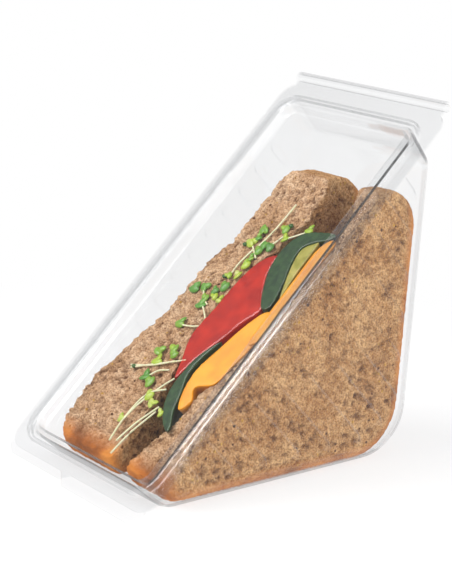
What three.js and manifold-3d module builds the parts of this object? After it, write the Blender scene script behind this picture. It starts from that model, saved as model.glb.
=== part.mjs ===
import * as THREE from 'three';
import * as BufferGeometryUtils from 'three/addons/utils/BufferGeometryUtils.js';
import Module from 'manifold-3d';

// Clear hinged sandwich wedge, lid closed, holding one cut sandwich on its base.
// Millimetres, +Z up, +X across the wedge, +Y from the finger tabs to the upright back.

// Driving dimensions of the container
const LID_SLOPE = THREE.MathUtils.degToRad(45);
const SHEET = 0.45;
const CLEARANCE = 0.3;
const LID_LIFT = 1.9;
const BACK_LEG = 133.5;

const RIM_HALF_WIDTH = 39.5;
const RIM_START = 8;
const RIM_END = 177.7;
const RIM_CORNER = 9;
const RIM_HEIGHT = 3;
const RIM_WIDTH = 5;
const RECESS_DEPTH = 4.2;
const RECESS_DRAFT = 0.25;
const SKIRT_DRAFT = 0.4;
const FOLD_RADIUS = 0.7;
const FOLD_STEPS = 2;
const CORNER_STEPS = 5;

const FLANGE_WIDTH = 5.2;
const FLANGE_HINGE_END = 184.4;
const FLANGE_CORNER = 7.5;
const FLANGE_TAB_END = 3.4;

const CAVITY_INSET = 2.6;
const BEAD_GAP = 0.32;
const BEAD_RISE = 2.2;
const SIDE_DRAFT = 0.042;
const END_DRAFT = 0.08;
const TOE_RADIUS = 8;
const HEEL_RADIUS = 20;
const SHOULDER_RADIUS = 6;

// Finger tabs, one on each sheet, offset sideways so that each can be pulled alone
const LID_TAB = { from: -37.5, to: -6, tip: 0.2, slant: 4.5 };
const TRAY_TAB = { from: -3.5, to: 37, tip: -1.4, slant: 5 };
const TAB_ROOT = 7;

// Fold line between lid and tray
const HINGE_V = 187.4;
const HINGE_N = 0.15;
const HINGE_HALF_LENGTH = RIM_HALF_WIDTH + 1.5;
const HINGE_CORE_RADIUS = 1.55;
const HINGE_WRAP_GAP = 0.4;
const HINGE_STEPS = 8;

// Side wall flutes
const FLUTE_FIRST = RIM_START + 18;
const FLUTE_LAST = RIM_END - 19.7;
const FLUTE_COUNT = 13;
const FLUTE_HALF_WIDTH = 2.6;
const FLUTE_RISE = 0.5;
const FLUTE_TOP = -5;
const FLUTE_FOOT_MARGIN = 12;

// Sandwich
const CUT_DEPTH = 3.7;
const SEAT_GAP = 0.3;
const LAYER_GAP = 0.3;
const BREAD = {
  front: RIM_START + 4.8,
  back: BACK_LEG - 4.3,
  top: 104,
  toe: 10,
  heel: HEEL_RADIUS + 1,
  crown: 15,
  outerEdge: 6.6,
  innerEdge: 2,
};
const CHEESE = { toe: 9, heel: HEEL_RADIUS + 2, crown: 4, edge: 0.5 };
const CHEESE_INSETS = [
  { front: 4.2, back: 8.2, top: 8 },
  { front: 1.2, back: 5.2, top: 4 },
];
const TOMATO_SLICES = [
  { v: 43, n: -14, radius: 21 },
  { v: 86, n: -16, radius: 20.5 },
  { v: 124, n: -17, radius: 16.5 },
];
const CUCUMBER_SLICES = [
  { v: 37, n: -10, radius: 17 },
  { v: 73, n: -14, radius: 18.4 },
  { v: 111, n: -14, radius: 19 },
];
const LAYER_V0 = RIM_START + 12;
const LAYER_V1 = RIM_END - 29.7;

const cosLid = Math.cos(LID_SLOPE);
const sinLid = Math.sin(LID_SLOPE);

// Lid coordinates: u across, v up the slope from the tabs, n outwards from the lid
function lidPoint(u, v, n) {
  return new THREE.Vector3(u, v * cosLid - n * sinLid, LID_LIFT + v * sinLid + n * cosLid);
}

function toLid(y, z) {
  const rise = z - LID_LIFT;
  return { v: y * cosLid + rise * sinLid, n: rise * cosLid - y * sinLid };
}

const wasm = await Module();
wasm.setup();

function toSolid(geometry) {
  const bare = geometry.clone();
  bare.deleteAttribute('normal');
  bare.deleteAttribute('uv');
  const merged = BufferGeometryUtils.mergeVertices(bare, 1e-4);
  return new wasm.Manifold(new wasm.Mesh({
    numProp: 3,
    vertProperties: new Float32Array(merged.attributes.position.array),
    triVerts: new Uint32Array(merged.index.array),
  }));
}

function toGeometry(solid) {
  const mesh = solid.getMesh();
  const geometry = new THREE.BufferGeometry();
  geometry.setAttribute('position', new THREE.BufferAttribute(new Float32Array(mesh.vertProperties), 3));
  geometry.setIndex(new THREE.BufferAttribute(new Uint32Array(mesh.triVerts), 1));
  return geometry;
}

function signedVolume(points, faces) {
  let volume = 0;
  for (const [a, b, c] of faces) {
    volume += points[a].dot(new THREE.Vector3().crossVectors(points[b], points[c]));
  }
  return volume / 6;
}

function indexedGeometry(points, faces) {
  const outward = signedVolume(points, faces) > 0;
  const geometry = new THREE.BufferGeometry();
  const flat = points.flatMap((point) => [point.x, point.y, point.z]);
  geometry.setAttribute('position', new THREE.Float32BufferAttribute(flat, 3));
  geometry.setIndex(faces.flatMap(([a, b, c]) => (outward ? [a, b, c] : [a, c, b])));
  return geometry;
}

// Closed skin over rings of equal length: capped at both ends, or joined end to end
function loft(rings, joined, capOutline) {
  const points = rings.flat();
  const size = rings[0].length;
  const faces = [];
  const last = joined ? rings.length : rings.length - 1;
  for (let i = 0; i < last; i += 1) {
    const next = ((i + 1) % rings.length) * size;
    for (let j = 0; j < size; j += 1) {
      const k = (j + 1) % size;
      faces.push([i * size + j, next + j, next + k], [i * size + j, next + k, i * size + k]);
    }
  }
  if (!joined) {
    const end = (rings.length - 1) * size;
    const sense = Math.sign(THREE.ShapeUtils.area(capOutline));
    for (const triangle of THREE.ShapeUtils.triangulateShape(capOutline, [])) {
      const turn = Math.sign(THREE.ShapeUtils.area(triangle.map((index) => capOutline[index])));
      const [a, b, c] = turn === sense ? triangle : [...triangle].reverse();
      faces.push([a, b, c], [end + a, end + c, end + b]);
    }
  }
  return indexedGeometry(points, faces);
}

// Rounded rectangle in the lid plane, as a ring of u and v
function lidRing(halfWidth, start, end, corner) {
  const ring = [];
  const corners = [
    [halfWidth - corner, start + corner, -90],
    [halfWidth - corner, end - corner, 0],
    [corner - halfWidth, end - corner, 90],
    [corner - halfWidth, start + corner, 180],
  ];
  for (const [u, v, from] of corners) {
    for (let i = 0; i <= CORNER_STEPS; i += 1) {
      const angle = THREE.MathUtils.degToRad(from + (90 * i) / CORNER_STEPS);
      ring.push(new THREE.Vector2(u + corner * Math.cos(angle), v + corner * Math.sin(angle)));
    }
  }
  return ring;
}

// Section of a folded sheet: middle line with an arc at each fold, and its side direction
function foldedSection(line) {
  const stations = [];
  const add = (x, y, side) => stations.push({ point: new THREE.Vector2(x, y), side });
  const sideOf = (from, to) => {
    const along = to.clone().sub(from).normalize();
    return new THREE.Vector2(-along.y, along.x);
  };
  const points = line.map(([x, y]) => new THREE.Vector2(x, y));
  add(points[0].x, points[0].y, sideOf(points[0], points[1]));
  for (let i = 1; i < points.length - 1; i += 1) {
    const before = sideOf(points[i - 1], points[i]);
    const after = sideOf(points[i], points[i + 1]);
    const turn = Math.atan2(before.cross(after), before.dot(after));
    const reach = FOLD_RADIUS * Math.tan(Math.abs(turn) / 2);
    const alongIn = points[i].clone().sub(points[i - 1]).normalize();
    const start = points[i].clone().addScaledVector(alongIn, -reach);
    const centre = start.clone().addScaledVector(before, Math.sign(turn) * FOLD_RADIUS);
    for (let k = 0; k <= FOLD_STEPS; k += 1) {
      const angle = (turn * k) / FOLD_STEPS;
      const side = before.clone().rotateAround(new THREE.Vector2(0, 0), angle);
      const at = centre.clone().addScaledVector(side, -Math.sign(turn) * FOLD_RADIUS);
      add(at.x, at.y, side);
    }
  }
  const end = points.length - 1;
  add(points[end].x, points[end].y, sideOf(points[end - 1], points[end]));
  return stations;
}

// Ring round the lid opening, offset outwards from the rim's outer edge
function offsetRing(offset, height, outline) {
  const o = outline ?? {
    halfWidth: RIM_HALF_WIDTH + offset,
    start: RIM_START - offset,
    end: RIM_END + offset,
    corner: RIM_CORNER + offset,
  };
  return lidRing(o.halfWidth, o.start, o.end, o.corner).map((p) => lidPoint(p.x, p.y, height));
}

const flangeOutline = {
  halfWidth: RIM_HALF_WIDTH + FLANGE_WIDTH,
  start: FLANGE_TAB_END,
  end: FLANGE_HINGE_END,
  corner: FLANGE_CORNER,
};

// Both faces of a folded sheet as rings; the last station lies on the flange's own outline
function sheetRings(line) {
  const stations = foldedSection(line);
  const face = (half) => stations.map(({ point, side }, i) => {
    const x = point.x + side.x * half;
    const y = point.y + side.y * half;
    return offsetRing(x, y, i === stations.length - 1 ? flangeOutline : undefined);
  });
  return { top: face(SHEET / 2), bottom: face(-SHEET / 2) };
}

// Flat plate in a lid-parallel plane
function lidPlate(outline, low, high) {
  const ring = (n) => outline.map(([u, v]) => lidPoint(u, v, n));
  const flat = outline.map(([u, v]) => new THREE.Vector2(u, v));
  return toSolid(loft([ring(low), ring(high)], false, flat));
}

function tabPlate(tab, low, high) {
  const root = FLANGE_TAB_END;
  return lidPlate([
    [tab.from - tab.slant, root + 1],
    [tab.from - tab.slant, root],
    [tab.from, tab.tip],
    [tab.to, tab.tip],
    [tab.to + tab.slant, root],
    [tab.to + tab.slant, root + 1],
    [tab.to, TAB_ROOT],
    [tab.from, TAB_ROOT],
  ], low, high);
}

// Arc bar along the fold line, from one angle to another between two radii
function hingeBar(innerRadius, outerRadius, fromAngle, toAngle) {
  const section = [];
  for (let i = 0; i <= HINGE_STEPS; i += 1) {
    const angle = THREE.MathUtils.degToRad(fromAngle + ((toAngle - fromAngle) * i) / HINGE_STEPS);
    section.push([outerRadius * Math.cos(angle), outerRadius * Math.sin(angle)]);
  }
  for (let i = HINGE_STEPS; i >= 0 && innerRadius > 0; i -= 1) {
    const angle = THREE.MathUtils.degToRad(fromAngle + ((toAngle - fromAngle) * i) / HINGE_STEPS);
    section.push([innerRadius * Math.cos(angle), innerRadius * Math.sin(angle)]);
  }
  const ring = (u) => section.map(([dv, dn]) => lidPoint(u, HINGE_V + dv, HINGE_N + dn));
  const flat = section.map(([dv, dn]) => new THREE.Vector2(dv, dn));
  return toSolid(loft([ring(-HINGE_HALF_LENGTH), ring(HINGE_HALF_LENGTH)], false, flat));
}

// Lid: flange, raised rim and recessed panel, folded from one sheet
function makeLid() {
  const flangeMiddle = CLEARANCE + SHEET / 2;
  const rimMiddle = RIM_HEIGHT - SHEET / 2;
  const panelMiddle = RIM_HEIGHT - RECESS_DEPTH - SHEET / 2;
  const { top, bottom } = sheetRings([
    [-RIM_WIDTH - RECESS_DRAFT - 2.2, panelMiddle],
    [-RIM_WIDTH - RECESS_DRAFT, panelMiddle],
    [-RIM_WIDTH, rimMiddle],
    [0, rimMiddle],
    [SKIRT_DRAFT, flangeMiddle],
    [FLANGE_WIDTH, flangeMiddle],
  ]);
  const rings = [...top, ...bottom.reverse()];
  const inset = lidRing(1, 0, RIM_END - RIM_START, 0.4);
  const capOutline = inset.map((p) => new THREE.Vector2(p.x * RIM_HALF_WIDTH, p.y));
  const low = CLEARANCE;
  const high = CLEARANCE + SHEET;
  const wrapRadius = HINGE_CORE_RADIUS + HINGE_WRAP_GAP;
  const strip = lidPlate([
    [-HINGE_HALF_LENGTH + 0.5, FLANGE_HINGE_END - 4],
    [HINGE_HALF_LENGTH - 0.5, FLANGE_HINGE_END - 4],
    [HINGE_HALF_LENGTH - 0.5, HINGE_V - wrapRadius - 0.1],
    [-HINGE_HALF_LENGTH + 0.5, HINGE_V - wrapRadius - 0.1],
  ], low, high);
  return toSolid(loft(rings, false, capOutline))
    .add(tabPlate(LID_TAB, low, high))
    .add(strip)
    .add(hingeBar(wrapRadius, wrapRadius + SHEET, 20, 170));
}

// Upright outline of the cavity, as corners with radii, set in by a distance
function cavityOutline(inset) {
  const mouthStart = RIM_START + CAVITY_INSET;
  const mouthEnd = RIM_END - CAVITY_INSET;
  const above = 12;
  const corner = (v, n) => {
    const p = lidPoint(0, v, n);
    return new THREE.Vector2(p.y, p.z);
  };
  const lift = LID_LIFT / sinLid;
  const toeN = -(mouthStart + lift) / (1 - END_DRAFT);
  const toe = corner(mouthStart - END_DRAFT * toeN, toeN);
  const backV = BACK_LEG / cosLid;
  const shoulderN = -(backV - mouthEnd) / (1 - END_DRAFT);
  const shoulder = corner(mouthEnd + END_DRAFT * shoulderN, shoulderN);
  return roundedOutline([
    { at: corner(mouthStart - END_DRAFT * above, above), radius: 0 },
    { at: toe, radius: TOE_RADIUS },
    { at: new THREE.Vector2(BACK_LEG, 0), radius: HEEL_RADIUS },
    { at: shoulder, radius: SHOULDER_RADIUS },
    { at: corner(mouthEnd + END_DRAFT * above, above), radius: 0 },
  ], inset);
}

// Convex outline with rounded corners, every side moved inwards by the inset
function roundedOutline(corners, inset) {
  const count = corners.length;
  const lines = corners.map(({ at }, i) => {
    const next = corners[(i + 1) % count].at;
    const along = next.clone().sub(at).normalize();
    const inward = new THREE.Vector2(-along.y, along.x);
    return { point: at.clone().addScaledVector(inward, inset), along, inward };
  });
  const outline = [];
  corners.forEach((corner, i) => {
    const before = lines[(i + count - 1) % count];
    const after = lines[i];
    const gap = after.point.clone().sub(before.point);
    const reach = gap.cross(after.along) / before.along.cross(after.along);
    const vertex = before.point.clone().addScaledVector(before.along, reach);
    const radius = corner.radius > 0 ? Math.max(corner.radius - inset, 0.4) : 0;
    if (radius === 0) {
      outline.push(vertex);
      return;
    }
    const turn = Math.atan2(before.along.cross(after.along), before.along.dot(after.along));
    const start = vertex.clone().addScaledVector(before.along, -radius * Math.tan(turn / 2));
    const centre = start.clone().addScaledVector(before.inward, radius);
    const steps = Math.max(3, Math.ceil((corner.radius * turn) / 4));
    for (let k = 0; k <= steps; k += 1) {
      const spoke = start.clone().sub(centre).rotateAround(new THREE.Vector2(0, 0), (turn * k) / steps);
      outline.push(centre.clone().add(spoke));
    }
  });
  return outline;
}

// Closed block between two leaning side planes, its edges rounded over towards both sides
function block(outlineAt, lowSide, highSide, lowEdge, highEdge, steps) {
  const rings = [];
  const ringAt = (inset, side, step) => outlineAt(inset).map((p) => {
    const { v, n } = toLid(p.x, p.y);
    return new THREE.Vector3(side(v, n) + step, p.x, p.y);
  });
  for (let k = 0; k <= steps; k += 1) {
    const angle = (Math.PI / 2) * (k / steps);
    rings.push(ringAt(lowEdge * (1 - Math.sin(angle)), lowSide, lowEdge * (1 - Math.cos(angle))));
  }
  for (let k = steps; k >= 0; k -= 1) {
    const angle = (Math.PI / 2) * (k / steps);
    rings.push(ringAt(highEdge * (1 - Math.sin(angle)), highSide, highEdge * (Math.cos(angle) - 1)));
  }
  return toSolid(loft(rings, false, outlineAt(lowEdge)));
}

// Everything on the outer side of a plane parallel to the lid
function slabAbove(height) {
  const outline = [[-90, -60], [90, -60], [90, 260], [-90, 260]];
  return lidPlate(outline, height, height + 140);
}

const mouthHalfWidth = RIM_HALF_WIDTH - CAVITY_INSET;
const wallSide = (inset) => (v, n) => mouthHalfWidth - inset + SIDE_DRAFT * n;

function cavityBlock(inset) {
  const high = wallSide(inset);
  const low = (v, n) => -high(v, n);
  const edge = RIM_CORNER - CAVITY_INSET - inset;
  return block((extra) => cavityOutline(inset + extra), low, high, edge, edge, 3);
}

// One flute: a shallow raised strip down a side wall, flattened at both ends
function flute(v, side, inset) {
  const baseDepth = -v - LID_LIFT / sinLid;
  const backDepth = v - BACK_LEG / cosLid;
  const heelDepth = HEEL_RADIUS * (Math.SQRT2 - 1) - (BACK_LEG / cosLid + LID_LIFT / sinLid) / 2;
  const foot = Math.max(baseDepth, backDepth, heelDepth) + FLUTE_FOOT_MARGIN;
  const wall = (n) => mouthHalfWidth - inset + SIDE_DRAFT * n;
  const rise = FLUTE_RISE;
  const stations = [
    [FLUTE_TOP, 0.02, 0.35],
    [FLUTE_TOP - 3, 1, 1],
    [foot + 4, 1, 1],
    [foot, 0.02, 0.35],
  ];
  const rings = stations.map(([n, lift, spread]) => {
    const half = FLUTE_HALF_WIDTH * spread;
    const section = [[-half, -0.2], [-half * 0.45, rise * lift], [half * 0.45, rise * lift], [half, -0.2]];
    return section.map(([dv, dx]) => lidPoint(side * (wall(n) + dx), v + dv, n));
  });
  const outline = [[-1, -0.2], [-0.45, 0], [0.45, 0], [1, -0.2]].map(([x, y]) => new THREE.Vector2(x, y));
  return toSolid(loft(rings, false, outline));
}

// Tray: cavity shell with fluted sides, joined to the bead and flange round its mouth
function makeTray() {
  let outer = cavityBlock(0);
  let inner = cavityBlock(SHEET);
  for (let i = 0; i < FLUTE_COUNT; i += 1) {
    const v = FLUTE_FIRST + ((FLUTE_LAST - FLUTE_FIRST) * i) / (FLUTE_COUNT - 1);
    for (const side of [-1, 1]) {
      outer = outer.add(flute(v, side, 0));
      inner = inner.add(flute(v, side, SHEET));
    }
  }
  const shell = outer.subtract(inner).subtract(slabAbove(0.1));
  const beadInner = -CAVITY_INSET - SHEET / 2;
  const beadOuter = -SHEET - BEAD_GAP - SHEET / 2;
  const beadMiddle = BEAD_RISE - SHEET / 2;
  const { top, bottom } = sheetRings([
    [beadInner, -0.8],
    [beadInner, beadMiddle],
    [beadOuter, beadMiddle],
    [beadOuter + 0.1, -SHEET / 2],
    [FLANGE_WIDTH, -SHEET / 2],
  ]);
  const mouth = toSolid(loft([...top, ...bottom.reverse()], true));
  const neck = lidPlate([
    [-HINGE_HALF_LENGTH + 0.5, FLANGE_HINGE_END - 4],
    [HINGE_HALF_LENGTH - 0.5, FLANGE_HINGE_END - 4],
    [HINGE_HALF_LENGTH - 0.5, HINGE_V],
    [-HINGE_HALF_LENGTH + 0.5, HINGE_V],
  ], -SHEET, 0);
  return shell
    .add(mouth)
    .add(neck)
    .add(hingeBar(0, HINGE_CORE_RADIUS, 0, 324))
    .add(tabPlate(TRAY_TAB, -SHEET, 0));
}

// Layers of the sandwich: leaning planes between the left and the right slice
// given as shares of the mouth's half width at the tab end and at the hinge end
const plane = (atStart, atEnd) => (v) => (
  mouthHalfWidth * (atStart + ((atEnd - atStart) * (v - LAYER_V0)) / (LAYER_V1 - LAYER_V0))
);
const layers = {
  leftFace: plane(-0.946, -0.583),
  leftInner: plane(-0.312, 0.068),
  sproutEnd: plane(-0.054, 0.244),
  tomatoEnd: plane(0.195, 0.434),
  cucumberEnd: plane(0.352, 0.558),
  cheeseEnd: plane(0.493, 0.732),
};
const cutAway = slabAbove(-CUT_DEPTH);

// A slice of loaf standing in the tray, cut off along the lid
function breadOutline(inset) {
  const seat = SHEET + SEAT_GAP;
  return roundedOutline([
    { at: new THREE.Vector2(BREAD.front, seat), radius: BREAD.toe },
    { at: new THREE.Vector2(BREAD.back, seat), radius: BREAD.heel },
    { at: new THREE.Vector2(BREAD.back, BREAD.top), radius: BREAD.crown },
    { at: new THREE.Vector2(BREAD.front, BREAD.top), radius: 0 },
  ], inset);
}

function makeLeftSlice() {
  const high = (v) => layers.leftInner(v) - LAYER_GAP;
  return block(breadOutline, layers.leftFace, high, BREAD.outerEdge, BREAD.innerEdge, 3)
    .subtract(cutAway);
}

function makeRightSlice() {
  const wall = wallSide(SHEET + CLEARANCE);
  const low = (v) => layers.cheeseEnd(v) + LAYER_GAP;
  return block(breadOutline, low, wall, BREAD.innerEdge, BREAD.outerEdge, 3).subtract(cutAway);
}

// A thin square slice of cheese, one corner tucked down at the heel
function makeCheese(fromShare, toShare, inset) {
  const between = (share) => (v) => {
    const start = layers.cucumberEnd(v) + LAYER_GAP;
    return start + (layers.cheeseEnd(v) - start) * share;
  };
  const front = BREAD.front + inset.front;
  const back = BREAD.back - inset.back;
  const top = BREAD.top - inset.top;
  const outline = (extra) => roundedOutline([
    { at: new THREE.Vector2(front, SHEET + SEAT_GAP), radius: CHEESE.toe },
    { at: new THREE.Vector2(back, SHEET + SEAT_GAP), radius: CHEESE.heel },
    { at: new THREE.Vector2(back, top), radius: CHEESE.crown },
    { at: new THREE.Vector2(front, top), radius: 0 },
  ], extra);
  const low = between(fromShare);
  const high = between(toShare);
  return block(outline, low, high, CHEESE.edge, CHEESE.edge, 1).subtract(cutAway);
}

// A round slice standing between two layer planes, centred at v and n
function makeRound(v, n, radius, lowPlane, highPlane, edge, steps, cut) {
  const centre = lidPoint(0, v, n);
  const outline = (inset) => {
    const ring = [];
    for (let k = 0; k < steps; k += 1) {
      const angle = (2 * Math.PI * k) / steps;
      ring.push(new THREE.Vector2(
        centre.y + (radius - inset) * Math.cos(angle),
        centre.z + (radius - inset) * Math.sin(angle),
      ));
    }
    return ring;
  };
  return block(outline, lowPlane, highPlane, edge, edge, 2).subtract(cut);
}

function makeTomato(v, n, radius) {
  const low = (at) => layers.sproutEnd(at) + LAYER_GAP;
  return makeRound(v, n, radius, low, layers.tomatoEnd, 1.2, 30, cutAway);
}

function makeCucumber(v, n, radius) {
  const low = (at) => layers.tomatoEnd(at) + LAYER_GAP;
  return makeRound(v, n, radius, low, layers.cucumberEnd, 0.6, 26, cutAway);
}

// Thin round bar swept through points
function bar(points, radius, sides, steps) {
  const curve = new THREE.CatmullRomCurve3(points);
  const rings = [];
  const across = new THREE.Vector3(1, 0, 0);
  for (let i = 0; i <= steps; i += 1) {
    const at = curve.getPointAt(i / steps);
    const along = curve.getTangentAt(i / steps);
    const side = across.clone().addScaledVector(along, -across.dot(along)).normalize();
    const other = new THREE.Vector3().crossVectors(along, side);
    const ring = [];
    for (let k = 0; k < sides; k += 1) {
      const angle = (2 * Math.PI * k) / sides;
      ring.push(at.clone()
        .addScaledVector(side, radius * Math.cos(angle))
        .addScaledVector(other, radius * Math.sin(angle)));
    }
    rings.push(ring);
  }
  const cap = rings[0].map((_, k) => {
    const angle = (2 * Math.PI * k) / sides;
    return new THREE.Vector2(Math.cos(angle), Math.sin(angle));
  });
  return toSolid(loft(rings, false, cap));
}

// A sprout: a pale stem running down into the filling and two small leaves at its head
const SPROUT = { stem: 0.65, leafLength: 2.7, leafWidth: 1.7, leafThickness: 0.75, headDepth: 5.6 };

function leafSolid(centre, tilt) {
  const geometry = new THREE.SphereGeometry(1, 7, 4);
  geometry.scale(SPROUT.leafThickness, SPROUT.leafLength, SPROUT.leafWidth);
  geometry.rotateX(tilt);
  geometry.translate(centre.x, centre.y, centre.z);
  return toSolid(geometry);
}

function makeSprout(v, reach, lean) {
  const u = layers.leftInner(v) + SPROUT.leafThickness;
  const head = lidPoint(u, v, -SPROUT.headDepth);
  const middle = lidPoint(u + 0.1, v + lean * 0.35, -SPROUT.headDepth - reach * 0.5);
  const foot = lidPoint(u, v + lean, -SPROUT.headDepth - reach);
  const leafLow = lidPoint(u, v - 1.9, -SPROUT.headDepth + 0.2);
  const leafHigh = lidPoint(u, v + 1.9, -SPROUT.headDepth + 0.2);
  return bar([head, middle, foot], SPROUT.stem, 5, 3)
    .add(leafSolid(leafLow, LID_SLOPE - 0.2))
    .add(leafSolid(leafHigh, LID_SLOPE + 0.35));
}

// Materials
const plastic = () => new THREE.MeshStandardMaterial({
  color: 0xeef2f6, roughness: 0.08, metalness: 0, transparent: true, opacity: 0.3,
});
const crumb = () => new THREE.MeshStandardMaterial({ color: 0xb98f5c, roughness: 0.9, metalness: 0 });
const cheese = () => new THREE.MeshStandardMaterial({ color: 0xe59a2c, roughness: 0.5, metalness: 0 });
const tomato = () => new THREE.MeshStandardMaterial({ color: 0xb4301c, roughness: 0.35, metalness: 0 });
const cucumber = () => new THREE.MeshStandardMaterial({ color: 0x6f7f35, roughness: 0.4, metalness: 0 });
const sprout = () => new THREE.MeshStandardMaterial({ color: 0x7f9a3c, roughness: 0.55, metalness: 0 });

const group = new THREE.Group();

function place(name, solid, material) {
  const mesh = new THREE.Mesh(toGeometry(solid), material);
  mesh.name = name;
  group.add(mesh);
}

place('base_tray', makeTray(), plastic());
place('lid', makeLid(), plastic());
place('bread_slice_left', makeLeftSlice(), crumb());
place('bread_slice_right', makeRightSlice(), crumb());
place('cheese_slice_1', makeCheese(0, 0.45, CHEESE_INSETS[0]), cheese());
place('cheese_slice_2', makeCheese(0.55, 1, CHEESE_INSETS[1]), cheese());

// Tomato slices down the cut, from the tabs to the hinge
TOMATO_SLICES.forEach(({ v, n, radius }, i) => {
  place(`tomato_slice_${i + 1}`, makeTomato(v, n, radius), tomato());
});

// Cucumber slices
CUCUMBER_SLICES.forEach(({ v, n, radius }, i) => {
  place(`cucumber_slice_${i + 1}`, makeCucumber(v, n, radius), cucumber());
});

// Sprouts in a row against the left slice
const SPROUT_FIRST = 21;
const SPROUT_PITCH = 9.6;
const sproutReaches = [9, 22, 30, 26, 36, 40, 34, 42, 36, 30, 34, 24, 20];
sproutReaches.forEach((reach, i) => {
  const v = SPROUT_FIRST + SPROUT_PITCH * i;
  const lean = 2 * Math.sin(i * 1.7);
  const name = `sprout_${String(i + 1).padStart(2, '0')}`;
  place(name, makeSprout(v, reach, lean), sprout());
});

// Frame: origin under the middle of the footprint, at the level of the lowest point
const box = new THREE.Box3().setFromObject(group);
const middle = box.getCenter(new THREE.Vector3());
for (const mesh of group.children) {
  mesh.geometry.translate(-middle.x, -middle.y, -box.min.z);
}

export default group;
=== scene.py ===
import bpy
import bmesh
import math
import random
import numpy as np
from mathutils import Matrix, Vector, noise


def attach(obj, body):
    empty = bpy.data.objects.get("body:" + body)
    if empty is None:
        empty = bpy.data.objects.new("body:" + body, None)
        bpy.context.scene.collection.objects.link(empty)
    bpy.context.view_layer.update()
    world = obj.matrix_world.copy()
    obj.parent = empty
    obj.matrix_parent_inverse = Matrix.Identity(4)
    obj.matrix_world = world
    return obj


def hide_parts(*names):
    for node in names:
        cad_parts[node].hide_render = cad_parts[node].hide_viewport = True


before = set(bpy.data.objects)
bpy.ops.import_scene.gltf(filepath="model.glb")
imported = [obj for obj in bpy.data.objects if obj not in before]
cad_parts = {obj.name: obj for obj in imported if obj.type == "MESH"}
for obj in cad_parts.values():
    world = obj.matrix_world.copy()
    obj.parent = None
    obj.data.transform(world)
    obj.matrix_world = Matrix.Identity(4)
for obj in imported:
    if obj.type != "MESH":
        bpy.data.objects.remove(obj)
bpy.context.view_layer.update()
scene = bpy.context.scene


# Camera: a long lens from the front right, a little above the base.
# The azimuth, elevation and roll come from fitting the lid's edges in the photograph.
CAMERA_DISTANCE = 0.634
azimuth = math.radians(51.4)
elevation = math.radians(14.5)
roll = math.radians(2.8)
target = Vector((0, -0.00147, 0.0666))
back = Vector((
    math.sin(azimuth) * math.cos(elevation),
    -math.cos(azimuth) * math.cos(elevation),
    math.sin(elevation),
))
right = Vector((math.cos(azimuth), math.sin(azimuth), 0))
up = back.cross(right)
rolled_right = right * math.cos(roll) + up * math.sin(roll)
rolled_up = up * math.cos(roll) - right * math.sin(roll)
camera_data = bpy.data.cameras.new("camera")
camera_data.lens = 106.8
camera_data.shift_x = 0.0065
camera_data.shift_y = -0.0097
camera_data.clip_start = 0.01
camera = bpy.data.objects.new("camera", camera_data)
camera.matrix_world = Matrix.Translation(target + back * CAMERA_DISTANCE) @ Matrix((
    (rolled_right.x, rolled_up.x, back.x, 0),
    (rolled_right.y, rolled_up.y, back.y, 0),
    (rolled_right.z, rolled_up.z, back.z, 0),
    (0, 0, 0, 1),
))
scene.collection.objects.link(camera)
scene.camera = camera
scene.view_settings.view_transform = "Standard"


# Floor: a pale plane under the container that keeps its soft shadow. Away from the base
# it glows as white as the world behind it, so that its horizon doesn't show.
FLOOR_REACH = 4
GLOW_AT_BASE = 0.72
SHADOW_RADIUS = 0.13
WHITE_RADIUS = 0.26


def new_material(name):
    material = bpy.data.materials.new(name)
    material.use_nodes = True
    return material, material.node_tree.nodes, material.node_tree.links


floor_material, nodes, links = new_material("floor")
floor_shader = nodes["Principled BSDF"]
floor_shader.inputs["Base Color"].default_value = (0.97, 0.97, 0.97, 1)
floor_shader.inputs["Roughness"].default_value = 0.9
floor_shader.inputs["Specular IOR Level"].default_value = 0.1
floor_glow = nodes.new("ShaderNodeEmission")
floor_glow.inputs["Strength"].default_value = 1.0
floor_mix = nodes.new("ShaderNodeMixShader")
floor_coords = nodes.new("ShaderNodeTexCoord")
floor_distance = nodes.new("ShaderNodeVectorMath")
floor_distance.operation = "LENGTH"
glow_range = nodes.new("ShaderNodeMapRange")
glow_range.interpolation_type = "SMOOTHSTEP"
glow_range.inputs["From Min"].default_value = SHADOW_RADIUS
glow_range.inputs["From Max"].default_value = WHITE_RADIUS
glow_range.inputs["To Min"].default_value = GLOW_AT_BASE
links.new(floor_coords.outputs["Object"], floor_distance.inputs[0])
links.new(floor_distance.outputs["Value"], glow_range.inputs["Value"])
links.new(glow_range.outputs["Result"], floor_mix.inputs["Fac"])
links.new(floor_shader.outputs[0], floor_mix.inputs[1])
links.new(floor_glow.outputs[0], floor_mix.inputs[2])
links.new(floor_mix.outputs[0], nodes["Material Output"].inputs["Surface"])
floor_mesh = bpy.data.meshes.new("floor")
floor_mesh.from_pydata([
    (-FLOOR_REACH, -FLOOR_REACH, 0), (FLOOR_REACH, -FLOOR_REACH, 0),
    (FLOOR_REACH, FLOOR_REACH, 0), (-FLOOR_REACH, FLOOR_REACH, 0),
], [], [(0, 1, 2, 3)])
floor_mesh.materials.append(floor_material)
floor = bpy.data.objects.new("floor", floor_mesh)
scene.collection.objects.link(floor)


# World: plain white to the camera, also through the plastic. What it lights or mirrors gets
# a soft grey sky, brightest a little above the horizon and darkest halfway up, where the
# lid mirrors it. Each stop of the sky is given as height and grey.
SKY_STOPS = [(0.0, 0.5), (0.15, 1.0), (0.38, 0.9), (0.55, 0.33), (1.0, 0.6)]
SKY_BLUE = 1.02


def ramp(nodes, stops):
    node = nodes.new("ShaderNodeValToRGB")
    elements = node.color_ramp.elements
    while len(elements) < len(stops):
        elements.new(0.5)
    for element, (position, color) in zip(elements, stops):
        element.position = position
        element.color = (*color, 1)
    return node


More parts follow.
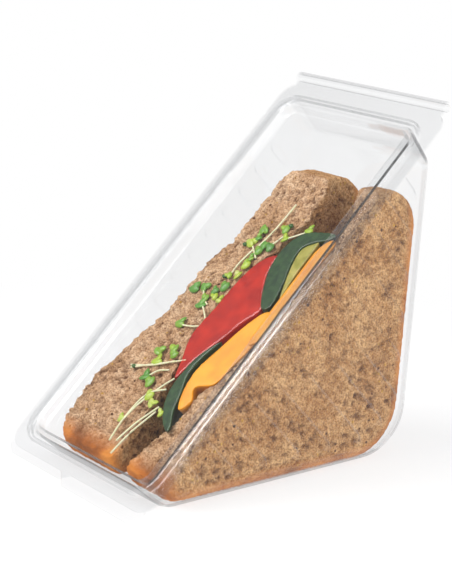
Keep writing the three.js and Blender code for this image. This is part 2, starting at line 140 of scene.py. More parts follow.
world = bpy.data.worlds.new("world")
scene.world = world
world.use_nodes = True
world_nodes = world.node_tree.nodes
world_links = world.node_tree.links
world_nodes.clear()
world_out = world_nodes.new("ShaderNodeOutputWorld")
world_mix = world_nodes.new("ShaderNodeMixShader")
rays = world_nodes.new("ShaderNodeLightPath")
plain = world_nodes.new("ShaderNodeBackground")
plain.inputs["Color"].default_value = (1, 1, 1, 1)
plain.inputs["Strength"].default_value = 1.0
sky = world_nodes.new("ShaderNodeBackground")
sky.inputs["Strength"].default_value = 0.95
sky_coords = world_nodes.new("ShaderNodeTexCoord")
sky_split = world_nodes.new("ShaderNodeSeparateXYZ")
sky_ramp = ramp(world_nodes, [
    (height, (grey, grey, grey * SKY_BLUE)) for height, grey in SKY_STOPS
])
world_links.new(sky_coords.outputs["Generated"], sky_split.inputs[0])
world_links.new(sky_split.outputs["Z"], sky_ramp.inputs["Fac"])
world_links.new(sky_ramp.outputs["Color"], sky.inputs["Color"])
world_links.new(rays.outputs["Is Camera Ray"], world_mix.inputs["Fac"])
world_links.new(sky.outputs[0], world_mix.inputs[1])
world_links.new(plain.outputs[0], world_mix.inputs[2])
world_links.new(world_mix.outputs[0], world_out.inputs["Surface"])


# Lights: a broad soft key from above the front left, and a long strip on the right
# whose mirror images draw the bright lines along the folds.
LIT_POINT = Vector((0, 0, 0.06))


def soft_light(name, width, height, watts, place):
    data = bpy.data.lights.new(name, "AREA")
    data.shape = "RECTANGLE"
    data.size = width
    data.size_y = height
    data.energy = watts
    light = bpy.data.objects.new(name, data)
    light.location = place
    light.rotation_euler = (LIT_POINT - light.location).to_track_quat("-Z", "Y").to_euler()
    scene.collection.objects.link(light)


soft_light("key", width=0.9, height=0.7, watts=15, place=(-0.35, -0.75, 0.95))
soft_light("strip", width=0.12, height=0.9, watts=7, place=(0.95, -0.1, 0.5))


# Tray and lid: thin clear PET sheet formed over moulds, joined by a fold that is the hinge.
# It is see-through face on, and darker and more like a mirror where it turns away. The dark
# draws its folds against white, and the mirror draws them against the bread.
FOLD_ANGLE = math.radians(50)
TINT_POWER = 3.0
GLOSS_POWER = 3.8


def math_node(nodes, operation, second=0.5):
    node = nodes.new("ShaderNodeMath")
    node.operation = operation
    node.inputs[1].default_value = second
    return node


plastic, nodes, links = new_material("clear_plastic")
nodes.clear()
plastic_out = nodes.new("ShaderNodeOutputMaterial")
sheet_mix = nodes.new("ShaderNodeMixShader")
clear = nodes.new("ShaderNodeBsdfTransparent")
gloss = nodes.new("ShaderNodeBsdfGlossy")
gloss.inputs["Roughness"].default_value = 0.04
facing = nodes.new("ShaderNodeLayerWeight")
facing.inputs["Blend"].default_value = 0.5
tint_edge = math_node(nodes, "POWER", TINT_POWER)
gloss_edge = math_node(nodes, "POWER", GLOSS_POWER)
gloss_range = nodes.new("ShaderNodeMapRange")
gloss_range.inputs["To Min"].default_value = 0.02
gloss_range.inputs["To Max"].default_value = 0.95
tint = ramp(nodes, [
    (0, (0.994, 0.995, 0.996)), (0.4, (0.975, 0.977, 0.98)), (1, (0.22, 0.22, 0.23)),
])
links.new(facing.outputs["Facing"], tint_edge.inputs[0])
links.new(facing.outputs["Facing"], gloss_edge.inputs[0])
links.new(tint_edge.outputs[0], tint.inputs["Fac"])
links.new(gloss_edge.outputs[0], gloss_range.inputs["Value"])
links.new(tint.outputs["Color"], clear.inputs["Color"])
links.new(gloss_range.outputs["Result"], sheet_mix.inputs["Fac"])
links.new(clear.outputs[0], sheet_mix.inputs[1])
links.new(gloss.outputs[0], sheet_mix.inputs[2])
links.new(sheet_mix.outputs[0], plastic_out.inputs["Surface"])
for name in ("base_tray", "lid"):
    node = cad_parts[name]
    node.data.materials.clear()
    node.data.materials.append(plastic)
    node.data.shade_smooth()
    node.data.set_sharp_from_angle(angle=FOLD_ANGLE)


# Bread: two loaf slices cut corner to corner, that stand in the tray on their crust with
# the cut face under the lid. Tan crumb with painted shade down in its holes, and bran specks,
# inside an orange-brown crust. Sizes are in millimetres, y from the front of the base and z up.
MM = 0.001
BREAD_FRONT = 12.8
BREAD_BACK = 129.2
BREAD_FOOT = 0.75
BREAD_TOP = 104
CRUST_TOP = 110
OUTER_EDGE = 6.6
INNER_EDGE = 2
LEFT_FLAT = (-36, -4)
RIGHT_FLAT = (14, 36)
LEFT_CUT = 3.9
RIGHT_CUT = 4.2
BREAD_VOXEL = 0.6

# Lid coordinates: u across, v up the slope from the finger tabs, n outwards from the lid.
# lid_point gives the place of such a point in metres, and lid_coords turns y and z back.
LID_LIFT = 1.9
Y_ORIGIN = 66.4733557
SLOPE = math.sqrt(0.5)
MID_SLOPE = 50


def lid_point(u, v, n):
    y = (v - n) * SLOPE - Y_ORIGIN
    z = LID_LIFT + (v + n) * SLOPE
    return Vector((u * MM, y * MM, z * MM))


def lid_coords(y, z):
    rise = z - LID_LIFT
    run = y + Y_ORIGIN
    return (run + rise) * SLOPE, (rise - run) * SLOPE


# Mottle, for every food: fine and coarse noise, and a mask of a few small specks with a
# random value each.
COARSE_SCALE = 0.16
SPECK_SIZE = 0.24
SPECKS_LEFT_OUT = 0.8
mottle = bpy.data.node_groups.new("mottle", "ShaderNodeTree")
mottle.interface.new_socket("Scale", in_out="INPUT", socket_type="NodeSocketFloat")
for output in ("Fine", "Coarse", "Speck", "Pick"):
    mottle.interface.new_socket(output, in_out="OUTPUT", socket_type="NodeSocketFloat")
nodes = mottle.nodes
links = mottle.links
mottle_in = nodes.new("NodeGroupInput")
mottle_out = nodes.new("NodeGroupOutput")
mottle_coords = nodes.new("ShaderNodeTexCoord")
fine = nodes.new("ShaderNodeTexNoise")
fine.inputs["Detail"].default_value = 6
coarse = nodes.new("ShaderNodeTexNoise")
coarse.inputs["Detail"].default_value = 3
pores = nodes.new("ShaderNodeTexVoronoi")
coarse_scale = math_node(nodes, "MULTIPLY", COARSE_SCALE)
small = math_node(nodes, "LESS_THAN", SPECK_SIZE)
chosen = math_node(nodes, "GREATER_THAN", SPECKS_LEFT_OUT)
speck = math_node(nodes, "MULTIPLY")
pick_split = nodes.new("ShaderNodeSeparateColor")
for texture in (fine, coarse, pores):
    links.new(mottle_coords.outputs["Object"], texture.inputs["Vector"])
links.new(mottle_in.outputs["Scale"], fine.inputs["Scale"])
links.new(mottle_in.outputs["Scale"], pores.inputs["Scale"])
links.new(mottle_in.outputs["Scale"], coarse_scale.inputs[0])
links.new(coarse_scale.outputs[0], coarse.inputs["Scale"])
links.new(pores.outputs["Distance"], small.inputs[0])
links.new(pores.outputs["Color"], pick_split.inputs[0])
links.new(pick_split.outputs[0], chosen.inputs[0])
links.new(small.outputs[0], speck.inputs[0])
links.new(chosen.outputs[0], speck.inputs[1])
links.new(fine.outputs["Fac"], mottle_out.inputs["Fine"])
links.new(coarse.outputs["Fac"], mottle_out.inputs["Coarse"])
links.new(speck.outputs[0], mottle_out.inputs["Speck"])
links.new(pick_split.outputs[1], mottle_out.inputs["Pick"])

# Bread material. Three values come with the mesh: rim is the distance in millimetres from
# the loaf's outside, which goes on above the slice to CRUST_TOP, cut is one on the torn face
# under the lid, which is paler, and the third is one down in a hole, where it darkens the
# crumb as painted shade.
SPOT_SCALE = 420
GRAIN_SCALE = 1500
FINE_SHARE = 0.55
COARSE_SHARE = 0.45
CRUST_ENDS = 6.5
CRUST_FULL = 1.0
bread, bread_nodes, bread_links = new_material("bread")
bread_shader = bread_nodes["Principled BSDF"]


def bread_value(name):
    node = bread_nodes.new("ShaderNodeAttribute")
    node.attribute_name = name
    return node.outputs["Fac"]


def mottled(nodes, scale):
    node = nodes.new("ShaderNodeGroup")
    node.node_tree = mottle
    node.inputs["Scale"].default_value = scale
    return node


def bread_mix(mask, first, second):
    node = bread_nodes.new("ShaderNodeMixRGB")
    bread_links.new(mask, node.inputs["Fac"])
    bread_links.new(first, node.inputs["Color1"])
    bread_links.new(second, node.inputs["Color2"])
    return node.outputs["Color"]


def bread_darken(color, shade):
    node = bread_nodes.new("ShaderNodeMixRGB")
    node.blend_type = "MULTIPLY"
    node.inputs["Fac"].default_value = 1.0
    bread_links.new(color, node.inputs["Color1"])
    bread_links.new(shade, node.inputs["Color2"])
    return node.outputs["Color"]


def bread_ramp(value, stops):
    node = ramp(bread_nodes, stops)
    bread_links.new(value, node.inputs["Fac"])
    return node.outputs["Color"]


spots = mottled(bread_nodes, SPOT_SCALE)
grain = mottled(bread_nodes, GRAIN_SCALE)
coarse_part = math_node(bread_nodes, "MULTIPLY", COARSE_SHARE)
both_parts = math_node(bread_nodes, "MULTIPLY_ADD", FINE_SHARE)
bread_links.new(spots.outputs["Coarse"], coarse_part.inputs[0])
bread_links.new(spots.outputs["Fine"], both_parts.inputs[0])
bread_links.new(coarse_part.outputs[0], both_parts.inputs[2])
side_crumb = bread_ramp(both_parts.outputs[0], [
    (0.36, (0.41, 0.19, 0.06)), (0.47, (0.57, 0.31, 0.125)), (0.60, (0.74, 0.46, 0.22)),
])
cut_crumb = bread_ramp(both_parts.outputs[0], [
    (0.36, (0.52, 0.30, 0.15)), (0.48, (0.67, 0.42, 0.24)), (0.62, (0.84, 0.59, 0.38)),
])
speck_colors = bread_ramp(spots.outputs["Pick"], [
    (0.0, (0.10, 0.035, 0.015)), (0.45, (0.24, 0.10, 0.04)), (0.5, (0.62, 0.34, 0.05)),
    (1.0, (0.70, 0.46, 0.14)),
])
# Painted shade: the crumb turns dark brown down in the holes.
pit_shade = bread_ramp(bread_value("hole_painted_shade"), [(0.0, (1, 1, 1)), (1.0, (0.22, 0.12, 0.06))])
grain_shade = bread_ramp(grain.outputs["Fine"], [
    (0.38, (0.50, 0.43, 0.36)), (0.58, (1, 1, 1)),
])
crust = bread_ramp(spots.outputs["Coarse"], [
    (0.38, (0.26, 0.075, 0.014)), (0.5, (0.50, 0.155, 0.028)), (0.64, (0.68, 0.25, 0.045)),
])
crust_mask = bread_nodes.new("ShaderNodeMapRange")
crust_mask.inputs["From Min"].default_value = CRUST_ENDS
crust_mask.inputs["From Max"].default_value = CRUST_FULL
bread_links.new(bread_value("rim"), crust_mask.inputs["Value"])
bread_color = bread_mix(bread_value("cut"), side_crumb, cut_crumb)
bread_color = bread_mix(spots.outputs["Speck"], bread_color, speck_colors)
# Painted shade darkens the crumb down in the holes.
bread_color = bread_darken(bread_color, pit_shade)
bread_color = bread_darken(bread_color, grain_shade)
bread_color = bread_mix(crust_mask.outputs["Result"], bread_color, crust)
bread_links.new(bread_color, bread_shader.inputs["Base Color"])
bread_bump = bread_nodes.new("ShaderNodeBump")
bread_bump.inputs["Distance"].default_value = 0.0007
bread_bump.inputs["Strength"].default_value = 1.0
bread_links.new(grain.outputs["Fine"], bread_bump.inputs["Height"])
bread_links.new(bread_bump.outputs["Normal"], bread_shader.inputs["Normal"])
bread_shader.inputs["Roughness"].default_value = 0.85
bread_shader.inputs["Specular IOR Level"].default_value = 0.2

# Bread outline from the side. Each corner is given as y, z and radius, and the ring is drawn
# inset for the rounded edges of the slice.
CORNER_STEPS = 10
EDGE_STEPS = 4
LEAST_RADIUS = 0.4
SAME_POINT = 1e-9


def rounded_outline(corners, inset):
    count = len(corners)
    sides = []
    for i in range(count):
        a = Vector(corners[i][:2])
        b = Vector(corners[(i + 1) % count][:2])
        along = (b - a).normalized()
        inward = Vector((-along.y, along.x))
        sides.append((a + inward * inset, along, inward))
    outline = []
    for i in range(count):
        p0, d0, in0 = sides[i - 1]
        p1, d1, _ = sides[i]
        turn = math.atan2(d0.x * d1.y - d0.y * d1.x, d0.dot(d1))
        gap = p1 - p0
        reach = (gap.x * d1.y - gap.y * d1.x) / (d0.x * d1.y - d0.y * d1.x)
        vertex = p0 + d0 * reach
        radius = max(corners[i][2] - inset, LEAST_RADIUS)
        start = vertex - d0 * radius * math.tan(turn / 2)
        centre = start + in0 * radius
        for k in range(CORNER_STEPS + 1):
            angle = turn * k / CORNER_STEPS
            spoke = start - centre
            outline.append(centre + Vector((
                spoke.x * math.cos(angle) - spoke.y * math.sin(angle),
                spoke.x * math.sin(angle) + spoke.y * math.cos(angle),
            )))
    return outline


def bread_outline(inset, top=BREAD_TOP):
    return rounded_outline([
        (BREAD_FRONT, BREAD_FOOT, 10), (BREAD_BACK, BREAD_FOOT, 21),
        (BREAD_BACK, top, 15), (BREAD_FRONT, top, 0.5),
    ], inset)


# Skin over a rough closed mesh: remeshed into small even faces, then smoothed if asked.
def remeshed(name, points, faces, voxel, smooth=0):
    mesh = bpy.data.meshes.new(name)
    mesh.from_pydata(points, [], faces)
    bm = bmesh.new()
    bm.from_mesh(mesh)
    bmesh.ops.recalc_face_normals(bm, faces=bm.faces)
    bm.to_mesh(mesh)
    bm.free()
    piece = bpy.data.objects.new(name, mesh)
    scene.collection.objects.link(piece)
    skin = piece.modifiers.new("remesh", "REMESH")
    skin.mode = "VOXEL"
    skin.voxel_size = voxel * MM
    skin.use_smooth_shade = True
    if smooth:
        soften = piece.modifiers.new("smooth", "SMOOTH")
        soften.factor = 0.5
        soften.iterations = smooth
    graph = bpy.context.evaluated_depsgraph_get()
    fine_mesh = bpy.data.meshes.new_from_object(piece.evaluated_get(graph))
    piece.modifiers.clear()
    piece.data = fine_mesh
    return piece


# A closed skin over rings of points, as its points and faces.
def lofted(rings):
    size = len(rings[0])
    points = [tuple(p) for ring in rings for p in ring]
    faces = [
        (k * size + j, (k + 1) * size + j, (k + 1) * size + (j + 1) % size, k * size + (j + 1) % size)
        for k in range(len(rings) - 1) for j in range(size)
    ]
    faces.append(tuple(range(size)))
    faces.append(tuple(reversed(range(len(points) - size, len(points)))))
    return points, faces


# A slice is meshed flat between two sides, with rounded edges, and cut off below the lid.
def slice_mesh(name, flat_sides, edges, cut):
    rings = []
    for side, edge, sign in ((flat_sides[0], edges[0], 1), (flat_sides[1], edges[1], -1)):
        for k in range(EDGE_STEPS + 1)[::sign]:
            angle = math.pi / 2 * k / EDGE_STEPS
            inset = edge * (1 - math.sin(angle))
            x = side + sign * edge * (1 - math.cos(angle))
            rings.append([
                (x * MM, (p.x - Y_ORIGIN) * MM, p.y * MM) for p in bread_outline(inset)
            ])
    points, faces = lofted(rings)
    mesh = bpy.data.meshes.new(name)
    mesh.from_pydata(points, [], faces)
    bm = bmesh.new()
    bm.from_mesh(mesh)
    bmesh.ops.recalc_face_normals(bm, faces=bm.faces)
    outwards = lid_point(0, 0, 1) - lid_point(0, 0, 0)
    result = bmesh.ops.bisect_plane(
        bm, geom=bm.verts[:] + bm.edges[:] + bm.faces[:],
        plane_co=lid_point(0, MID_SLOPE, -cut), plane_no=outwards, clear_outer=True,
    )
    open_edges = [e for e in result["geom_cut"] if isinstance(e, bmesh.types.BMEdge)]
    bmesh.ops.contextual_create(bm, geom=open_edges)
    flat_points = [tuple(v.co) for v in bm.verts]
    flat_faces = [[v.index for v in f.verts] for f in bm.faces]
    bm.free()
    return remeshed(name, flat_points, flat_faces, BREAD_VOXEL)


def outline_distance(outline, y, z):
    best = np.full(len(y), np.inf)
    for a, b in zip(outline, outline[1:] + outline[:1]):
        dy, dz = b.x - a.x, b.y - a.y
        length = dy * dy + dz * dz
        if length < SAME_POINT:
            continue
        t = np.clip(((y - a.x) * dy + (z - a.y) * dz) / length, 0, 1)
        best = np.minimum(best, np.hypot(y - a.x - t * dy, z - a.y - t * dz))
    return best


# Relief of the crumb: large holes in patches and small pits, pressed in less near the crust,
# over a fine roughness that is stronger on the torn face. The seed is set for each slice,
# because noise_vector would otherwise change from run to run.
TORN_DEPTH = 0.9
TORN_FADE = 0.5
CRUST_THICK = 1.0
CRUST_FADE = 2.5
HOLE_SIZE = 3.6
HOLE_EDGE = 0.52
HOLE_DEPTH = 3.2
HOLE_WIDEN = 0.8
HOLE_FLATTEN = 1.2
HOLE_BEND_SIZE = 2.5
HOLE_BEND = 0.45
PATCH_SIZE = 9
PATCH_MEAN = 0.5
PATCH_SPAN = 0.9
PIT_SIZE = 1.5
PIT_EDGE = 0.46
PIT_DEPTH = 1.7
PIT_BEND_SIZE = 1.2
PIT_BEND = 0.4
CRUST_HOLES = 0.25
ROUGH_SIZE = 1.6
ROUGH_FALL = 1.0
ROUGH_STEP = 2.0
ROUGH_OCTAVES = 3
ROUGH_HEIGHT = 0.28
TORN_ROUGH = 0.3
PRESS_SHADE = 0.85
ROUGH_SHADE = 0.25

# Close to the cut the two sides are ragged, and the front crust stands back from the wall.
RAGGED_DEPTH = 9
WAVE_SIZE = 6
WAVE = 1.5
NICK_SIZE = 2.2
NICK = 1.3
FRONT_STEP = 4
FRONT_STEP_RUN = 26


def add_attribute(mesh, name, values):
    attribute = mesh.attributes.new(name, "FLOAT", "POINT")
    attribute.data.foreach_set("value", np.asarray(values, dtype=np.float32))


def carry(piece, slot, *nodes):
    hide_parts(*nodes)
    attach(piece, "tray")


def finish_bread(piece, node, flat_sides, bent_sides, cut, seed):
    noise.seed_set(seed)
    mesh = piece.data
    count = len(mesh.vertices)
    points = np.empty((count, 3))
    normals = np.empty((count, 3))
    mesh.vertices.foreach_get("co", points.ravel())
    mesh.vertices.foreach_get("normal", normals.ravel())
    y = points[:, 1] / MM + Y_ORIGIN
    z = points[:, 2] / MM
    v, n = lid_coords(points[:, 1] / MM, z)
    distance = outline_distance(bread_outline(0), y, z)
    crust_distance = outline_distance(bread_outline(0, CRUST_TOP), y, z)
    cut_part = np.clip((n + cut + TORN_DEPTH) / TORN_FADE, 0, 1)
    crumb_part = np.clip((distance - CRUST_THICK) / CRUST_FADE, 0, 1)
    near_cut = np.clip((n + cut + RAGGED_DEPTH) / RAGGED_DEPTH, 0, 1)
    shift = np.empty(count)
    hole_painted_shade = np.empty(count)
    ragged = np.empty(count)
    offset = Vector((seed, 0, 0))
    for i, p in enumerate(points):
        at = Vector(p) / MM + offset
        stretched = Vector((at.x, at.y * HOLE_WIDEN, at.z * HOLE_FLATTEN))
        hole_bend = noise.noise_vector(at / HOLE_BEND_SIZE) * HOLE_BEND
        pit_bend = noise.noise_vector(at / PIT_BEND_SIZE) * PIT_BEND
        to_hole = noise.voronoi(stretched / HOLE_SIZE + hole_bend)[0][0]
        to_pit = noise.voronoi(at / PIT_SIZE + pit_bend)[0][0]
        patch = PATCH_MEAN + PATCH_SPAN * noise.noise(at / PATCH_SIZE)
        rough = noise.fractal(at / ROUGH_SIZE, ROUGH_FALL, ROUGH_STEP, ROUGH_OCTAVES)
        hole = max(0.0, HOLE_EDGE - to_hole) * HOLE_DEPTH * max(0.0, patch)
        small_hole = max(0.0, PIT_EDGE - to_pit) * PIT_DEPTH
        press = (hole + small_hole) * (CRUST_HOLES + (1 - CRUST_HOLES) * crumb_part[i])
        wave = noise.noise(Vector((seed, v[i] / WAVE_SIZE, 0))) * WAVE
        shift[i] = rough * (ROUGH_HEIGHT + TORN_ROUGH * cut_part[i]) - press
        # Painted shade: one deep in a hole, and less where the crumb is rough.
        hole_painted_shade[i] = min(1.0, max(0.0, press * PRESS_SHADE - rough * ROUGH_SHADE))
        ragged[i] = wave + noise.noise(at / NICK_SIZE) * NICK
    points = points + normals * (shift * MM)[:, None]
    share = (points[:, 0] / MM - flat_sides[0]) / (flat_sides[1] - flat_sides[0])
    low = bent_sides[0](v, n) + np.abs(ragged) * near_cut
    high = bent_sides[1](v, n) - np.abs(ragged) * near_cut
    points[:, 0] = (low + share * (high - low)) * MM
    points[:, 1] += FRONT_STEP * MM * (1 - np.clip((y - BREAD_FRONT) / FRONT_STEP_RUN, 0, 1))
    mesh.vertices.foreach_set("co", points.ravel())
    add_attribute(mesh, "rim", crust_distance)
    add_attribute(mesh, "cut", cut_part)
    add_attribute(mesh, "hole_painted_shade", hole_painted_shade)
    mesh.materials.append(bread)
    mesh.update()
    carry(piece, "bread", node)


# The sides bend to the curves they take in the pack. Deep down the gap between the slices
# is even, and towards the cut the filling spreads them. Curves give x along the slope v.
SPREAD_DEPTH = 30
SPREAD_RUN = 24
GAP_ENDS = [20, 148]
RIGHT_WALL = 35.9
RIGHT_DRAFT = 0.042


def spread(n):
    return np.clip((n + SPREAD_DEPTH) / SPREAD_RUN, 0, 1)


def gap_low(v):
    return np.interp(v, GAP_ENDS, [-4, 4])


def gap_high(v):
    return np.interp(v, GAP_ENDS, [13, 20])


def left_outer(v, n):
    return np.interp(
        v, [10, 42, 50, 62, 75, 104, 112, 150], [-35.6, -35.2, -30, -28, -22.8, -21, -17, -17],
    )


def left_inner(v, n):
    at_cut = np.interp(v, [15, 50, 70, 90, 105, 115, 130, 143, 152], [2, 5, 0.5, 1, 3, 8, 12, 10, 5])
    inside = gap_low(v)
    return inside + (at_cut - inside) * spread(n)


def right_inner(v, n):
    at_cut = np.interp(v, [15, 40, 52, 60, 75, 90, 124, 135, 150], [9, 20, 21, 26, 29, 31, 32, 30, 22])
    inside = gap_high(v)
    return inside + (at_cut - inside) * spread(n)


def right_outer(v, n):
    return RIGHT_WALL + RIGHT_DRAFT * n


left_bread = slice_mesh("bread_left", LEFT_FLAT, (OUTER_EDGE, INNER_EDGE), LEFT_CUT)
finish_bread(
    left_bread, "bread_slice_left", LEFT_FLAT, (left_outer, left_inner), LEFT_CUT, seed=3,
)
right_bread = slice_mesh("bread_right", RIGHT_FLAT, (INNER_EDGE, OUTER_EDGE), RIGHT_CUT)
finish_bread(
    right_bread, "bread_slice_right", RIGHT_FLAT, (right_inner, right_outer), RIGHT_CUT, seed=40,
)


# Tomato: slices pressed together between the breads, seen as one broad red face beside the
# left slice. Like each filling it is drawn as seen from the lid, by its outline in u and v
# at the cut, and its top leans down towards the right slice.
FILLING_VOXEL = 0.45
CURVE_STEPS = 4
FOOT_HEIGHT = 0.8
FOOT_REACHED = 1.6
DEPTH_PARTS = (0.25, 0.5, 0.75, 1.0)


def moist_material(name, stops, roughness, scale, bump, subsurface):
    material, nodes, links = new_material(name)
    shader = nodes["Principled BSDF"]
    pattern = mottled(nodes, scale)
    colors = ramp(nodes, stops)
    dents = nodes.new("ShaderNodeBump")
    dents.inputs["Distance"].default_value = bump
    dents.inputs["Strength"].default_value = 0.6
    links.new(pattern.outputs["Fine"], colors.inputs["Fac"])
    links.new(colors.outputs["Color"], shader.inputs["Base Color"])
    links.new(pattern.outputs["Coarse"], dents.inputs["Height"])
    links.new(dents.outputs["Normal"], shader.inputs["Normal"])
    shader.inputs["Roughness"].default_value = roughness
    shader.inputs["Subsurface Weight"].default_value = subsurface
    shader.inputs["Subsurface Radius"].default_value = (0.003, 0.0015, 0.0006)
    return material


# A smooth curve through given points, at share t of the way from p1 to p2.
def curve_point(p0, p1, p2, p3, t):
    return 0.5 * (
        2 * p1 + (p2 - p0) * t + (2 * p0 - 5 * p1 + 4 * p2 - p3) * t * t
        + (3 * p1 - p0 - 3 * p2 + p3) * t * t * t
    )


def closed_curve(corners, steps):
    points = [Vector(corner) for corner in corners]
    count = len(points)
    curve = []
    for i, p in enumerate(points):
        after = points[(i + 1) % count]
        beyond = points[(i + 2) % count]
        curve += [curve_point(points[i - 1], p, after, beyond, k / steps) for k in range(steps)]
    return curve


# Below the cut a filling narrows to its shares of the gap between the slices.
def filling(name, corners, top, lean, depth, shares, material, smooth):
    outline = closed_curve(corners, CURVE_STEPS)
    low = min(p.x for p in outline)
    high = max(p.x for p in outline)
    middle_v = sum(p.y for p in outline) / len(outline)
    foot = []
    for p in outline:
        foot_v = middle_v + (p.y - middle_v) * FOOT_HEIGHT
        share = shares[0] + (shares[1] - shares[0]) * (p.x - low) / (high - low)
        foot_u = gap_low(foot_v) + share * (gap_high(foot_v) - gap_low(foot_v))
        foot.append(Vector((foot_u, foot_v)))
    rings = [[lid_point(p.x, p.y, top - lean * (p.x - low)) for p in outline]]
    for part in DEPTH_PARTS:
        across = min(1.0, part * FOOT_REACHED)
        rings.append([
            lid_point(p.x + (q.x - p.x) * across, p.y + (q.y - p.y) * part, top - depth * part)
            for p, q in zip(outline, foot)
        ])
    points, faces = lofted(rings)
    piece = remeshed(name, points, faces, FILLING_VOXEL, smooth)
    piece.data.materials.append(material)
    return piece


tomato = moist_material("tomato", [
    (0.3, (0.32, 0.005, 0.001)), (0.7, (0.52, 0.018, 0.004)),
], roughness=0.22, scale=220, bump=0.0006, subsurface=0.1)
tomato_piece = filling("tomato", [
    (7, 53), (4, 60), (0, 70), (1, 84), (2, 97), (5, 107), (11, 112),
    (13, 104), (17, 97), (22, 90), (18, 82), (15, 74), (11, 65), (9, 58),
], top=-2.5, lean=0.04, depth=45, shares=(0.05, 0.38), material=tomato, smooth=6)
carry(tomato_piece, "tomato", "tomato_slice_1", "tomato_slice_2", "tomato_slice_3")


# Cucumber: raw slices with a dark green rind and olive flesh. A thin one stands on edge
# beside the tomato, and a broad one shows its rind as a dark arch round its flesh.
skin = moist_material("cucumber_skin", [
    (0.3, (0.006, 0.028, 0.008)), (0.7, (0.03, 0.08, 0.02)),
], roughness=0.3, scale=500, bump=0.0004, subsurface=0)
flesh = moist_material("cucumber_flesh", [
    (0.3, (0.26, 0.25, 0.03)), (0.7, (0.46, 0.40, 0.10)),
], roughness=0.3, scale=300, bump=0.0004, subsurface=0.3)
thin_cucumber = filling("cucumber_thin", [
    (21, 34), (14, 39), (9, 48), (9, 60), (12, 68), (16, 73),
    (13, 65), (12, 57), (15, 50), (18, 42), (22, 36),
], top=-2.7, lean=0, depth=28, shares=(0.42, 0.55), material=skin, smooth=2)
carry(thin_cucumber, "cucumber", "cucumber_slice_1")
rind = filling("cucumber_rind", [
    (22, 90), (16, 98), (12, 107), (12, 117), (17, 124), (30, 127),
    (30, 124), (24, 121), (20, 117), (21, 110), (24, 102), (26, 92),
], top=-2.5, lean=0, depth=45, shares=(0.4, 0.52), material=skin, smooth=4)
carry(rind, "cucumber", "cucumber_slice_3")
inner_flesh = filling("cucumber_flesh", [
    (27, 96), (24, 102), (21, 110), (20, 117), (24, 121), (26, 121), (26, 108),
], top=-2.8, lean=0, depth=44, shares=(0.54, 0.66), material=flesh, smooth=3)
carry(inner_flesh, "cucumber", "cucumber_slice_2")


# Cheese: soft deep yellow slices laid against the right slice, a broad one that sags
# towards the tomato and a strip behind it.
cheese = moist_material("cheese", [
    (0.3, (0.76, 0.27, 0.001)), (0.7, (0.90, 0.39, 0.003)),
], roughness=0.4, scale=120, bump=0.0005, subsurface=0.1)
broad_cheese = filling("cheese_broad", [
    (19, 43), (15, 50), (14, 60), (17, 71), (20, 81), (24, 89),
    (28, 89), (30, 77), (28, 65), (26, 57), (19, 53), (22, 48),
], top=-2.8, lean=0.05, depth=40, shares=(0.60, 0.80), material=cheese, smooth=4)
carry(broad_cheese, "cheese", "cheese_slice_1")
cheese_strip = filling("cheese_strip", [
    (28, 76), (27, 85), (27, 105), (27, 118), (30, 124),
    (33, 123), (32, 108), (31, 92), (32, 80), (30, 76),
], top=-2.7, lean=0.03, depth=45, shares=(0.82, 0.97), material=cheese, smooth=3)
carry(cheese_strip, "cheese", "cheese_slice_2")


# Sprouts: pale stems lying over the cut, with small oval leaves in pairs and a few dark
# seeds. Their tone runs from the dark of a seed through green and yellow to a pale stem.
TONE_JITTER = 0.22
LEAF_LEVEL = -2.95
LEAF_REACH = 0.58
LEAF_SPREAD = 0.38
LEAF_THICK = 0.6
LEAF_TILT = 0.35
LEAF_PINCH = 0.25
PAIR_GAP = 1.6
PAIR_BEARING = 75
PAIR_LENGTH = 0.8
STEM_LEVEL = -3.05
STEM_RADIUS = 0.36
STEM_TONE = 0.85
STEM_STEPS = 8
STEM_SIDES = 8
SEED_TONE = -0.05
sprout, nodes, links = new_material("sprout")
sprout_shader = nodes["Principled BSDF"]
tone = nodes.new("ShaderNodeAttribute")
tone.attribute_name = "tone"
leaf_noise = mottled(nodes, 900)
jittered = math_node(nodes, "MULTIPLY_ADD", TONE_JITTER)
leaf_colors = ramp(nodes, [
    (0.08, (0.03, 0.10, 0.012)), (0.3, (0.10, 0.29, 0.03)), (0.6, (0.38, 0.50, 0.03)),
    (0.8, (0.62, 0.60, 0.26)), (1.0, (0.78, 0.76, 0.52)),
])
links.new(leaf_noise.outputs["Fine"], jittered.inputs[0])
links.new(tone.outputs["Fac"], jittered.inputs[2])
links.new(jittered.outputs[0], leaf_colors.inputs["Fac"])
links.new(leaf_colors.outputs["Color"], sprout_shader.inputs["Base Color"])
sprout_shader.inputs["Roughness"].default_value = 0.35
sprout_shader.inputs["Subsurface Weight"].default_value = 0.15
sprout_shader.inputs["Subsurface Radius"].default_value = (0.001, 0.002, 0.0005)

